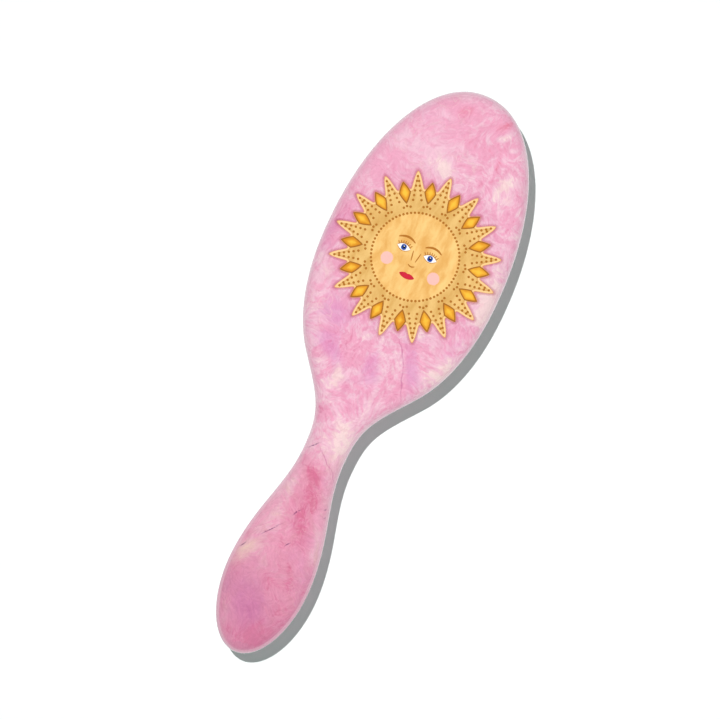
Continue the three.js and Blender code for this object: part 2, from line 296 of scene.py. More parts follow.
def ring(inset, z):
    """The outline's points moved inwards along its normals, at most to the spine, at heights z."""
    t = np.clip(inset / OUT_DEPTH, 0, 1)
    return np.stack([mix(OUT_X, OUT_FOOT, t), OUT_Y * (1 - t), z + 0 * OUT_X], -1)


def edge_shares(steps):
    """Shares of the rounded edge's width, closer together at its rim, from there to its inner end."""
    return 1 - np.cos(np.linspace(0, math.pi / 2, steps + 1)[1:])


def outer_rings(side, height, steps=18):
    """Insets and heights of a shell's outer face from its softened rim to the edge's inner end.
    side is 1 for the back and -1 for the front."""
    rim = [(0.32, 0.0), (0.1, 0.07), (0.0, 0.3)]
    start = PARTING_Z + side * PARTING_GAP / 2
    rings = [(inset + 0 * OUT_X, start + side * rise + 0 * OUT_X) for inset, rise in rim]
    for share in edge_shares(steps):
        rise = np.maximum(height * bulge(share, EDGE_POWER), 0.3)
        rings.append((share * EDGE_WIDTH, start + side * rise))
    return rings


def lathe(profile, at, sides):
    """A closed round body: profile's (radius, height) points turned about the upright line at at."""
    turn = round_turn(sides)
    r, z = np.array(profile, float).T
    points = np.stack(
        [at[0] + r[:, None] * np.cos(turn), at[1] + r[:, None] * np.sin(turn), z[:, None] + 0 * turn],
        -1,
    )
    return points.reshape(-1, 3), grid_faces(len(profile), sides)


def rod(radius, low, high, x, sides=20):
    """An upright rod on the brush's axis: a profile of two corners turned about x."""
    profile = [(0, low), (radius, low), (radius, high), (0, high)]
    return lathe(profile, (x, 0), sides)


def make_back_cover():
    """The back: rings from the spine over the rounded edge to the rim, and inside back to the spine."""
    outer = outer_rings(1, BACK_HEIGHT)
    start = PARTING_Z + PARTING_GAP / 2
    rings = [(OUT_DEPTH, outer[-1][1])] + outer[::-1]
    rings.append((WALL + 0 * OUT_X, start + 0 * OUT_X))
    for share in edge_shares(8):
        inset = mix(WALL, np.maximum(EDGE_WIDTH, WALL), share)
        rings.append((inset, start + (BACK_HEIGHT - WALL) * bulge(share, EDGE_POWER)))
    rings.append((OUT_DEPTH, rings[-1][1]))
    shell = np.array([ring(*r) for r in rings])
    parts = [(shell.reshape(-1, 3), grid_faces(len(rings), len(OUT_X)))]
    insets = np.concatenate([inset for inset, _ in rings])
    for x in PEG_XS:
        parts.append(rod(3.0, PARTING_Z + PARTING_GAP, BACK_Z - WALL + 1, x))
    vertices, faces = joined(parts)
    inset = np.append(insets, np.full(len(vertices) - len(insets), WALL))
    return mesh_object("marbled_back", vertices, faces, values={"inset": inset})


def egg_share(x, y, grow=0.0):
    """1 on the cushion's egg-shaped outline grown outwards by grow, less inside it."""
    reach = np.where(x > CUSHION_X, CUSHION_UP, CUSHION_DOWN) + grow
    return np.hypot((x - CUSHION_X) / reach, y / (CUSHION_HALF + grow))


def opening_insets():
    """How far inwards each outline point's line meets the frame's opening, or its whole depth."""
    near, far = np.zeros_like(OUT_X), np.ones_like(OUT_X)
    meets = egg_share(OUT_FOOT, 0, OPENING_FIT) < 1
    for _ in range(40):
        t = (near + far) / 2
        share = egg_share(mix(OUT_X, OUT_FOOT, t), OUT_Y * (1 - t), OPENING_FIT)
        near, far = np.where(share > 1, t, near), np.where(share > 1, far, t)
    return np.where(meets, far, 1) * OUT_DEPTH


def make_front_frame():
    """The front: rings from the step inside the rim, round the edge to the opening's rolled lip or
    the spine, and inside back again. The lip closes up where the opening ends."""
    outer = outer_rings(-1, FRONT_DEPTH)
    start = PARTING_Z - PARTING_GAP / 2
    mouth = opening_insets()
    opened = np.clip((OUT_DEPTH - mouth) / 1.5, 0, 1)
    rings = []
    for inset, z in outer:
        rings.append((np.minimum(inset, mouth - 0.6 * opened), z))
    face_z = outer[-1][1]
    for back, rise in ((0.3, 0.05), (0.1, 0.2), (0.0, 0.5)):
        rings.append((mouth - back * opened, face_z + rise * opened))
    lip = len(rings) - 1
    inner_z = np.where(opened > 0, FRAME_INNER_Z, start - (FRONT_DEPTH - WALL))
    rings.append((mouth, inner_z))
    for share in edge_shares(8)[::-1]:
        inset = mix(FRAME_SIDE, np.maximum(EDGE_WIDTH, FRAME_SIDE), share)
        flat = mix(EDGE_POWER, 8.0, OUT_HEADNESS)
        depth = (FRONT_DEPTH - WALL) * (1 - (1 - share) ** flat) ** (1 / flat)
        rings.append((np.minimum(inset, mouth), start - depth))
    for inset, z in ((FRAME_SIDE, start), (FRAME_SIDE, start + 0.8), (2.7, start + 0.8), (2.7, start)):
        rings.append((inset + 0 * OUT_X, z + 0 * OUT_X))
    rings.append(rings[0])
    points = np.array([ring(*r) for r in rings])
    faces = grid_faces(len(rings), len(OUT_X))
    row, column = np.divmod(faces[:, 0], len(OUT_X))
    shut = (opened[column] == 0) & (np.roll(opened, -1)[column] == 0)
    parts = [(points.reshape(-1, 3), faces[~((row == lip) & shut)])]
    for x in PEG_XS:
        parts.append(rod(1.4, PARTING_Z - 6, PARTING_Z + 2.4, x))
    vertices, faces = joined(parts)
    return mesh_object("front_frame_shell", vertices, faces)


# ---- the cushion ----
def cushion_z(x, y):
    """Height of the cushion's outer face: flat inside the crown, and a power curve outside it."""
    out = np.clip((egg_share(x, y) - CROWN_SHARE) / (1 - CROWN_SHARE), 0, 1)
    return FLANGE_Z - CUSHION_RISE * (1 - out**DOME_POWER)


def egg_ring(share, grow, rise, sides=160):
    """A ring of the egg at a share of its size, grown by grow, at rise over the outer face."""
    turn = round_turn(sides)
    reach = np.where(np.cos(turn) > 0, CUSHION_UP, CUSHION_DOWN)
    x = CUSHION_X + reach * share * np.cos(turn)
    y = CUSHION_HALF * share * np.sin(turn)
    z = cushion_z(x, y) + rise
    return np.stack([x + grow * np.cos(turn), y + grow * np.sin(turn), z], -1)


def pin_places(k):
    """Where the pins of column k stand; alternate columns are half a pitch out of step."""
    y = k * COLUMN_PITCH
    most = math.ceil(CUSHION_UP / PIN_PITCH)
    x = CUSHION_X + (k % 2) * PIN_PITCH / 2 + np.arange(-most, most + 1) * PIN_PITCH
    return [(float(a), y) for a in x if egg_share(a, y) <= PIN_FIELD]


COLUMNS = range(-5, 6)


def collar(x, y):
    """The rubber's raised collar round a pin: a small round rim that follows the dome, with room
    for the pin to lean."""
    profile = [(2.1, 0.2), (1.75, -0.1), (1.5, -0.4), (1.3, -0.5), (1.14, -0.4), (1.12, 0.3)]
    points, faces = lathe(profile, (x, y), 10)
    points[:, 2] += cushion_z(points[:, 0], points[:, 1])
    return points, faces


def make_cushion():
    """The pad: rings over its dome and flange and back inside, a collar round each pin, and a vent."""
    shares = np.concatenate([np.linspace(0, CROWN_SHARE, 8), np.linspace(CROWN_SHARE, 1, 16)[1:]])
    rings = [egg_ring(s, 0, 0) for s in shares]
    rings += [egg_ring(1, g, 0) for g in (0.5, FLANGE - 0.2, FLANGE)]
    rings[-1][:, 2] += 0.2
    rings += [egg_ring(1, g, CUSHION_THICK) for g in (FLANGE, 0.5)]
    rings += [egg_ring(s, 0, CUSHION_THICK) for s in shares[::-2]]
    points = np.array(rings)
    parts = [(points.reshape(-1, 3), grid_faces(len(rings), points.shape[1], flip=True))]
    parts += [collar(x, y) for k in COLUMNS for x, y in pin_places(k)]
    parts.append(collar(CUSHION_X - 0.9 * CUSHION_DOWN, 0.0))
    vertices, faces = joined(parts)
    return mesh_object("air_cushion", vertices, faces, smooth_angle=50)


# ---- the pins ----
def pin(x, y):
    """One pin: a ball end, a slightly tapered shaft and a root in the strip behind the cushion."""
    tip = float(cushion_z(x, y)) - PIN_REACH
    root = float(cushion_z(x, y)) + CUSHION_THICK + STRIP_LIFT + STRIP_HEIGHT / 2
    profile = [
        (0, 0), (0.62, 0.16), (BALL_R, 0.68), (0.88, 1.3), (0.64, 1.8), (PIN_NECK_R, 2.4),
        (PIN_ROOT_R, root - tip), (0, root - tip),
    ]
    points, faces = lathe(profile, (x, y), 10)
    points[:, 2] += tip
    ball = np.repeat([1, 1, 1, 1, 0.6, 0, 0, 0], 10)
    return points, faces, ball


def strip(places):
    """The strip that ties a column's roots: a rounded bar that follows the dome over its stations."""
    y = places[0][1]
    x = np.linspace(places[0][0] - 1, places[-1][0] + 1, 2 * len(places) + 1)
    z = cushion_z(x, y + 0 * x) + CUSHION_THICK + STRIP_LIFT + STRIP_HEIGHT / 2
    half = np.array([(-1, -0.6), (-0.6, -1), (0.6, -1), (1, -0.6)])
    section = np.concatenate([half, -half])
    size = np.ones(len(x) + 2)
    size[[0, -1]] = 0
    x, z = np.pad(x, 1, "edge"), np.pad(z, 1, "edge")
    points = np.stack(
        [
            x[:, None] + 0 * section[:, 0],
            y + size[:, None] * section[:, 0] * STRIP_HALF,
            z[:, None] + size[:, None] * section[:, 1] * STRIP_HEIGHT / 2,
        ],
        -1,
    )
    return points.reshape(-1, 3), grid_faces(len(x), len(section))


def make_column(number, k):
    """A lengthwise column of pins on its strip, with 1 as the attribute ball on the pins' ends."""
    places = pin_places(k)
    pins = [pin(x, y) for x, y in places]
    bar = strip(places)
    vertices, faces = joined([(p, f) for p, f, _ in pins] + [bar])
    ball = np.concatenate([b for _, _, b in pins] + [np.zeros(len(bar[0]))])
    return mesh_object(f"pin_column_{number:02d}", vertices, faces, 60, values={"ball": ball})


# ---- places on the back ----
def back_z(x, y):
    """Height of the back's outer face: its rounded edge by the distance to the outline, then level."""
    x, y = np.broadcast_arrays(np.asarray(x, float), np.asarray(y, float))
    flat_x, flat_y = x.ravel(), y.ravel()
    near = np.empty(len(flat_x))
    for start in range(0, len(flat_x), 4000):
        some = slice(start, start + 4000)
        gaps = np.hypot(flat_x[some, None] - OUT_X, flat_y[some, None] - OUT_Y)
        near[some] = gaps.min(axis=1)
    near = near.reshape(x.shape)
    shape = headness(x)
    height = mix(HANDLE_BACK, HEAD_BACK, shape)
    share = near / mix(HANDLE_EDGE, HEAD_EDGE, shape)
    return PARTING_Z + PARTING_GAP / 2 + height * bulge(share, EDGE_POWER)


def placed(up, side, lift):
    """Points of the sun laid on the back: up and side from its centre, lift over the surface."""
    up, side, lift = np.broadcast_arrays(up, side, lift)
    x = SUN_X + up
    return np.stack([x, side + 0 * x, back_z(x, side) + lift], -1)


def dome(edge_up, edge_side, low, rise, steps=4):
    """A low dome over a closed edge: at a share of the way from its middle to its edge it stands
    rise * sqrt(1 - share * share) over low, and its rim sinks into the surface. Also each point's
    share, from 0 to 1."""
    middle_up, middle_side = np.mean(edge_up), np.mean(edge_side)
    share = np.concatenate([[0, 1, 1], np.cos(np.linspace(0, math.pi / 2, steps + 1)[1:])])
    lift = np.concatenate([[SUNK, SUNK, low], low + rise * np.sqrt(1 - share[3:] ** 2)])
    up = mix(middle_up, edge_up, share[:, None])
    side = mix(middle_side, edge_side, share[:, None])
    points = placed(up, side, lift[:, None])
    return points.reshape(-1, 3), grid_faces(len(share), len(edge_up)), np.repeat(share, len(edge_up))


def stroke(up, side, width, rise=0.12):
    """A raised line along a path: a round section carried along it, which thins towards both ends
    as the root of a sine."""
    up, side = np.asarray(up, float), np.asarray(side, float)
    size = width / 2 * np.sqrt(np.sin(np.linspace(0.12, math.pi - 0.12, len(up))))
    size[[0, -1]] = 0
    across_up, across_side = -np.gradient(side), np.gradient(up)
    length = np.hypot(across_up, across_side)
    across_up, across_side = across_up / length, across_side / length
    turn = round_turn(8)
    lift = FILM + np.where(size > 0, rise, 0)[:, None] * np.sin(turn)
    points = placed(
        up[:, None] + (size * across_up)[:, None] * np.cos(turn),
        side[:, None] + (size * across_side)[:, None] * np.cos(turn),
        lift,
    )
    return points.reshape(-1, 3), grid_faces(len(up), 8)


# ---- the sun ----
RAY_ANGLES = np.arange(2 * SUN_RAYS) * math.pi / SUN_RAYS


def star_radius(turn):
    """The sun's outline: straight sides between ray tips and valleys, its corners a little blunt."""
    fine = round_turn(4096)
    knots = np.arange(4 * SUN_RAYS + 1) * math.pi / (2 * SUN_RAYS)
    radii = np.full(4 * SUN_RAYS + 1, VALLEY_R)
    radii[0::4] = DOT_RAY_R
    radii[2::4] = GEM_RAY_R
    sharp = np.interp(fine, knots, radii)
    blunt = np.exp(-0.5 * (np.arange(-BLUNT_REACH, BLUNT_REACH + 1) / BLUNT_SPREAD) ** 2)
    smooth = np.convolve(np.pad(sharp, BLUNT_REACH, "wrap"), blunt / blunt.sum(), "valid")
    return np.interp(turn, fine, smooth, period=2 * math.pi)


RIM_TURN = round_turn(RIM_POINTS)
RIM_R = star_radius(RIM_TURN)


def rim_gap(up, side):
    """Each point's distance to the nearest point of the sun's outline."""
    rim_up, rim_side = RIM_R * np.cos(RIM_TURN), RIM_R * np.sin(RIM_TURN)
    rows = zip(up[:, :, None], side[:, :, None])
    return np.array([np.hypot(u - rim_up, s - rim_side).min(axis=1) for u, s in rows])


def make_sun_plate():
    """The sun's gold film: its star outline at shares of its size, with the distance to the outline
    as the attribute edge."""
    share = np.concatenate([np.linspace(0.0, 0.6, 10), np.linspace(0.6, 1, 26)[1:]])[:, None]
    up, side = share * (RIM_R * np.cos(RIM_TURN)), share * (RIM_R * np.sin(RIM_TURN))
    edge = rim_gap(up, side)
    top = placed(up, side, FILM + 0 * up)
    under = placed(up[[-1, 0]], side[[-1, 0]], SUNK + 0 * up[:2])
    points = np.concatenate([top, under])
    edge = np.concatenate([edge, edge[[-1, 0]]])
    faces = grid_faces(len(points), RIM_POINTS)
    return mesh_object("sun_plate", points.reshape(-1, 3), faces, values={"edge": edge.ravel()})


def make_sun_shadow_band():
    """A painted shadow on the back, a thin darker rose band round the sun: the star outline grown by
    out, with the distance to it as the attribute away."""
    out = np.array([-1.2, -0.4, 0.0, 0.3, 0.7, 1.2, 1.8, 2.6])[:, None]
    up, side = (RIM_R + out) * np.cos(RIM_TURN), (RIM_R + out) * np.sin(RIM_TURN)
    away = rim_gap(up, side)
    away[out[:, 0] <= 0] = 0
    points = placed(up, side, SHADOW_BAND_LIFT + 0 * up)
    faces = grid_faces(len(points), RIM_POINTS)
    return mesh_object("sun_shadow_band", points.reshape(-1, 3), faces, values={"away": away.ravel()})


def turned(up, side, angle):
    """A shape turned about the sun's centre."""
    c, s = math.cos(angle), math.sin(angle)
    return c * up - s * side, s * up + c * side


def make_sun_gems():
    """A domed lozenge of amber on every other ray: an oval whose cosine and sine are raised to
    GEM_POWER, so that its sides turn nearly straight."""
    c, s = np.cos(round_turn(40)), np.sin(round_turn(40))
    lozenge_up = GEM_R + GEM_HALF_LENGTH * np.sign(c) * np.abs(c) ** GEM_POWER
    lozenge_side = GEM_HALF_WIDTH * np.sign(s) * np.abs(s) ** GEM_POWER
    edges = [turned(lozenge_up, lozenge_side, angle) for angle in RAY_ANGLES[1::2]]
    gems = [dome(*edge, FILM + 0.1, GEM_RISE, 7) for edge in edges]
    vertices, faces = joined([(points, quads) for points, quads, _ in gems])
    share = np.concatenate([share for _, _, share in gems])
    gem = np.repeat(np.arange(len(gems)), len(gems[0][2]))
    return mesh_object("sun_gems", vertices, faces, 50, values={"share": share, "gem": gem})


def make_sun_dots():
    """Small raised dots: a ring round the face, an outer ring of pairs, and two rows to each long
    ray's tip."""
    spots = [turned(FACE_RING_R, 0.0, angle) for angle in round_turn(RING_DOTS)]
    for angle in RAY_ANGLES[0::2]:
        for step in range(6):
            out = mix(DOT_RAY_R - 3.4, VALLEY_R - 3.2, step / 5)
            apart = 0.13 + 0.28 * step
            spots.append(turned(out, apart, angle))
            if step > 0:
                spots.append(turned(out, -apart, angle))
    for angle in RAY_ANGLES[1::2]:
        for apart in (-1.25, 0.0, 1.25):
            spots.append(turned(VALLEY_R - 5.2 - 0.35 * abs(apart), apart, angle))
    round_up, round_side = DOT_R * np.cos(round_turn(8)), DOT_R * np.sin(round_turn(8))
    dots = [dome(up + round_up, side + round_side, FILM, DOT_RISE, 2)[:2] for up, side in spots]
    return mesh_object("sun_dots", *joined(dots), 50)


def eye_edge(width, height, count=48):
    """An almond: two parabolas over its width that meet at the corners."""
    turn = round_turn(count)
    return EYE_UP + height / 2 * np.sin(turn) * np.abs(np.sin(turn)), width / 2 * np.cos(turn)


def both_sides(shape):
    """A shape on the face's left and its mirror image on the right."""
    points, quads = shape[:2]
    mirrored = points * np.array([1, -1, 1])
    return [(points, quads), (mirrored, np.asarray(quads)[:, ::-1])]


def make_face():
    """A calm, symmetric face: almond eyes at mid height, one eye's width apart, plain brows, a short
    nose and closed lips."""
    turn = round_turn(40)
    up, side = eye_edge(EYE_WIDTH, EYE_HEIGHT)
    whites = both_sides(dome(up, EYE_SIDE + side, FILM + 0.04, 0.2, 5))
    pieces = [mesh_object("sun_eye_whites", *joined(whites), 50)]
    for name, radius, low, shift in EYE_DISCS:
        disc_up = EYE_UP + shift + radius * np.cos(turn)
        disc = dome(disc_up, EYE_SIDE + radius * np.sin(turn), FILM + low, 0.06, 3)
        pieces.append(mesh_object(name, *joined(both_sides(disc)), 50))

    t = np.linspace(-1, 1, 25)
    lid = stroke(EYE_UP + EYE_HEIGHT / 2 * (1 - t**2), EYE_SIDE + EYE_WIDTH / 2 * t, 0.56)
    under = stroke(EYE_UP - EYE_HEIGHT / 2 * (1 - t**2), EYE_SIDE + EYE_WIDTH / 2 * t, 0.34)
    brow = stroke(EYE_UP + 4.1 - 1.2 * t**2, EYE_SIDE + 3.4 * t, 0.85)
    lines = both_sides(lid) + both_sides(under) + both_sides(brow)
    for place in np.linspace(-0.8, 0.8, 7):
        start_up = EYE_UP + EYE_HEIGHT / 2 * (1 - place**2) + 0.15
        start_side = EYE_SIDE + EYE_WIDTH / 2 * place
        grow = np.linspace(0, 1, 7)
        lines += both_sides(stroke(start_up + 0.95 * grow, start_side + 0.9 * place * grow, 0.36))
    nose_side = np.linspace(-1, 1, 21)
    lines.append(stroke(NOSE_UP - 0.55 * (1 - nose_side**2), 1.35 * nose_side, 0.5))
    bridge = np.linspace(0, 1, 15)
    lines += both_sides(stroke(mix(EYE_UP + 0.4, NOSE_UP + 1.4, bridge), 1.55 - 0.75 * bridge, 0.42))
    pieces.append(mesh_object("sun_face_lines", *joined(lines), 60))

    half = np.abs(np.sin(turn))
    bow = 1 - 0.28 * np.exp(-((np.cos(turn) / 0.16) ** 2))
    lip_rise = np.where(np.sin(turn) > 0, 1.05 * half**1.4 * bow, -1.2 * half**1.5)
    lips = dome(MOUTH_UP + lip_rise, 3.0 * np.cos(turn), FILM + 0.04, 0.4, 6)[:2]
    pieces.append(mesh_object("sun_lips", *lips, 50))
    seam = stroke(MOUTH_UP + 0.12 - 0.2 * (1 - t**2), 2.75 * t, 0.24, 0.42)
    pieces.append(mesh_object("sun_lip_seam", *seam, 60))
    return pieces


# ---- materials ----
def colour(red, green, blue):
    """A linear colour from its sRGB values out of 255."""
    channels = np.array([red, green, blue]) / 255
    linear = np.where(channels > 0.04045, ((channels + 0.055) / 1.055) ** 2.4, channels / 12.92)
    return (*linear.tolist(), 1.0)


def operator(operation, swapped=False):
    """A method of Value that makes the Math node of an operation."""

    def method(self, other=None):
        pair = [value for value in (self, other) if value is not None]
        return self.finish.maths(operation, *(pair[::-1] if swapped else pair))

    return method


class Value:
    """What comes out of a node's socket. Sums, products and so on of it make Math nodes."""

    __add__ = __radd__ = operator("ADD")
    __sub__ = operator("SUBTRACT")
    __rsub__ = operator("SUBTRACT", swapped=True)
    __mul__ = __rmul__ = operator("MULTIPLY")
    __abs__ = operator("ABSOLUTE")
    exp = operator("EXPONENT")
    root = operator("SQRT")
    least = operator("MINIMUM")

    def __init__(self, finish, socket):
        self.finish = finish
        self.socket = socket


class Finish:
    """A material with a Principled shader. Constants go on its sockets by name."""

    def __init__(self, name, **sockets):
        self.material = bpy.data.materials.new(name)
        self.material.use_nodes = True
        self.tree = self.material.node_tree
        self.shader = self.tree.nodes["Principled BSDF"]
        for key, value in sockets.items():
            self.put(key.replace("_", " "), value)

    def put(self, name, value):
        """A constant or a Value into one of the shader's sockets."""
        self.connect(self.shader.inputs[name], value)

    def connect(self, socket, value):
        """Links a Value to a socket, or sets a constant on it."""
        if isinstance(value, Value):
            self.tree.links.new(value.socket, socket)
        else:
            socket.default_value = value

    def node(self, kind, settings=None, sockets=None, output=0):
        """A new node with its settings and its sockets' values, by name or number."""
        made = self.tree.nodes.new("ShaderNode" + kind)
        for key, value in (settings or {}).items():
            setattr(made, key, value)
        for key, value in (sockets or {}).items():
            self.connect(made.inputs[key], value)
        return Value(self, made.outputs[output])

    def maths(self, operation, *values):
        """A Math node of values or numbers."""
        return self.node("Math", {"operation": operation}, dict(enumerate(values)))

    def vector(self, operation, first, second):
        """A Vector Math node of two vectors."""
        return self.node("VectorMath", {"operation": operation}, {0: first, 1: second})

    def place(self):
        """The place on the object in millimetres."""
        spot = self.node("TexCoord", output="Object")
        return self.vector("MULTIPLY", spot, (1000, 1000, 1000))

    def split(self, vector):
        """A vector's three numbers."""
        return [self.node("SeparateXYZ", None, {0: vector}, output=i) for i in range(3)]

    def attribute(self, name):
        """A number kept on the mesh's points."""
        return self.node("Attribute", {"attribute_name": name}, output="Fac")

    def noise(self, place, size, detail=2.0, rough=0.5, output=0):
        """Smooth noise from 0 to 1 whose largest lumps are about size across."""
        sockets = {"Vector": place, "Scale": 1 / size, "Detail": detail, "Roughness": rough}
        return self.node("TexNoise", None, sockets, output)

    def cells(self, place, size, output="Color"):
        """Random patches about size across, each with a colour of its own."""
        return self.node("TexVoronoi", None, {"Vector": place, "Scale": 1 / size}, output)

    def drifted(self, place, size, reach):
        """A place pushed about by noise, by up to about half of reach."""
        push = self.vector("SUBTRACT", self.noise(place, size, output=1), (0.5, 0.5, 0.5))
        return self.vector("ADD", place, self.vector("MULTIPLY", push, (reach, reach, reach)))

    def ramp(self, value, low, high):
        """The smooth step of value from 0 at low to 1 at high, which may be the lower number."""
        return self.node(
            "MapRange",
            {"interpolation_type": "SMOOTHSTEP"},
            {"Value": value, "From Min": low, "From Max": high},
        )

    def blend(self, first, second, share):
        """The colour between two."""
        return self.node("Mix", {"data_type": "RGBA"}, {0: share, 6: first, 7: second}, output=2)

    def shade(self, tint, factor):
        """A colour times a number."""
        settings = {"data_type": "RGBA", "blend_type": "MULTIPLY"}
        return self.node("Mix", settings, {0: 1.0, 6: tint, 7: factor}, output=2)

    def patch(self, x, y, middle, along, across, degrees=0.0):
        """1 in the middle of an ellipse, fading out around it."""
        c, s = math.cos(math.radians(degrees)), math.sin(math.radians(degrees))
        dx, dy = x - middle[0], y - middle[1]
        u = dx * (c / along) + dy * (s / along)
        v = dy * (c / across) - dx * (s / across)
        return ((u * u + v * v) * -1).exp()

    def streaks(self, place, cells, long, thin):
        """Fine strokes that run in another direction in each cell."""
        angle = self.split(cells)[0] * (2 * math.pi)
        turned_place = self.node(
            "VectorRotate", {"rotation_type": "Z_AXIS"}, {"Vector": place, "Angle": angle}
        )
        drawn = self.vector("MULTIPLY", turned_place, (1 / long, 1 / thin, 1 / thin))
        return self.noise(drawn, 1.0, detail=4.0, rough=0.6)

    def bump(self, height, strength, distance):
        """Raises and lowers the surface by height, in metres times distance."""
        normal = self.node("Bump", None, {"Strength": strength, "Distance": distance, "Height": height})
        self.put("Normal", normal)


# the marbled back
CREAM_PINK = colour(250, 219, 219)
PALE_PINK = colour(245, 196, 214)
LIGHT_PINK = colour(243, 172, 199)
ORCHID = colour(226, 150, 198)
ROSE = colour(223, 118, 156)
CORAL = colour(235, 132, 158)
DULL_ROSE = colour(204, 128, 160)
WARM_ROSE = colour(214, 130, 150)
DUSKY_LILAC = colour(198, 114, 160)
BEIGE = colour(238, 202, 190)
# darker rose of the faint painted shadow in a ring round the sun
RING_SHADOW_ROSE = colour(196, 118, 150)
SEAM_TINT = colour(196, 96, 150)
DARK_THREAD = colour(112, 52, 104)
BASE_LEVEL = 0.84  # of the tints, to allow for the light

# the sun
FACE_GOLDS = colour(222, 168, 92), colour(240, 198, 126)
RAY_GOLDS = colour(208, 162, 90), colour(228, 188, 118)
BORDER_SHADE = colour(196, 136, 70)
BORDER_CREAM = colour(240, 200, 140)
BORDER_BROWN = colour(206, 142, 84)
CHEEK_PINK = colour(252, 186, 180)
# darker rose of the painted shadow band round the sun
BAND_SHADOW_ROSE = colour(196, 104, 116)
# deep amber, and the lighter yellow of the painted highlight in the gems' middles
AMBER_AND_HIGHLIGHT = colour(214, 138, 30), colour(246, 190, 62)
AMBER_RIM = colour(168, 104, 34)
IRIS_BLUES = colour(22, 42, 120), colour(52, 92, 190)

# the front
RUBBER_PINKS = colour(238, 176, 196), colour(246, 196, 211)
NYLON_WHITES = colour(244, 232, 230), colour(250, 243, 240)
BALL_ROSE = colour(222, 120, 160)
FRAME_ROSES = colour(232, 158, 188), colour(243, 186, 208)

TONE_STEPS = [  # each tint takes over between two tones
    (LIGHT_PINK, 0.04, 0.42),
    (PALE_PINK, 0.42, 0.62),
    (CREAM_PINK, 0.6, 0.86),
]
CREAM_PATCHES = [  # middle, half length, half width, degrees
    ((-3.5, 8.5), 4.5, 2.2, 25),
    ((-76.0, 11.6), 5.5, 3.2, -20),
    ((-66.0, -12.5), 6.0, 2.2, 20),
    ((-27.0, -4.0), 9.0, 3.8, 18),
    ((-62.0, 7.5), 7.0, 2.4, -20),
    ((-47.0, 6.5), 5.0, 1.8, -8),
    ((44.0, -31.0), 9.0, 2.2, 0),
    ((82.0, 4.0), 5.0, 3.0, 60),
    ((84.0, -19.0), 8.0, 2.6, -20),
    ((101.0, -12.0), 3.0, 2.0, -50),
    ((12.0, -26.0), 7.0, 3.0, -30),
]
ROSE_PATCHES = [
    ((-50.0, -2.0), 10.0, 3.4, 5),
    ((-65.0, -5.5), 7.0, 3.2, 12),
    ((-78.0, -7.0), 5.0, 1.6, 20),
    ((-41.5, 0.5), 3.0, 4.5, 0),
    ((-105.0, -2.0), 5.0, 8.0, 0),
    ((104.0, -9.0), 4.0, 2.0, -55),
    ((91.0, -13.5), 6.0, 1.3, 0),
    ((104.0, 7.0), 2.5, 6.0, 10),
    ((47.0, 31.5), 8.0, 2.0, 0),
]
ORCHID_PATCHES = [
    ((4.0, 15.0), 6.0, 3.0, 45),
    ((16.0, 17.0), 6.0, 6.0, 0),
    ((-92.0, 4.0), 8.0, 7.0, 0),
    ((12.0, -15.5), 9.0, 2.6, 25),
    ((2.0, -3.0), 8.0, 4.0, 20),
]
DUSK_PATCH = ((-96.0, 1.5), 9.0, 6.0, 35)
BEIGE_PATCH = ((-76.5, 11.4), 5.0, 2.4, -25)
SEAMS = [
    ((13.6, -10.0), 4.6, 0.2, 31),
    ((3.5, -14.8), 7.0, 0.2, 22),
    ((-33.8, -1.3), 4.4, 0.22, 50),
    ((-39.2, -6.6), 2.6, 0.2, 36),
]
SEAM_SHADE = ((9.2, -14.7), 11.0, 1.5, 26)
THREADS = [  # the two ends of each
    ((-33.0, 6.9), (-29.3, 3.2)),
    ((-37.9, 7.7), (-35.7, 7.7)),
    ((-58.0, 1.6), (-54.3, -1.0)),
    ((-69.4, 9.5), (-62.2, 3.5)),
    ((-69.6, -0.7), (-67.3, -2.3)),
    ((-76.3, 14.4), (-73.5, 12.6)),
    ((-51.6, -8.6), (-50.6, -9.2)),
    ((-54.4, -9.6), (-53.6, -10.0)),
]


def together(values):
    """The sum of several values."""
    total = values[0]
    for value in values[1:]:
        total = total + value
    return total


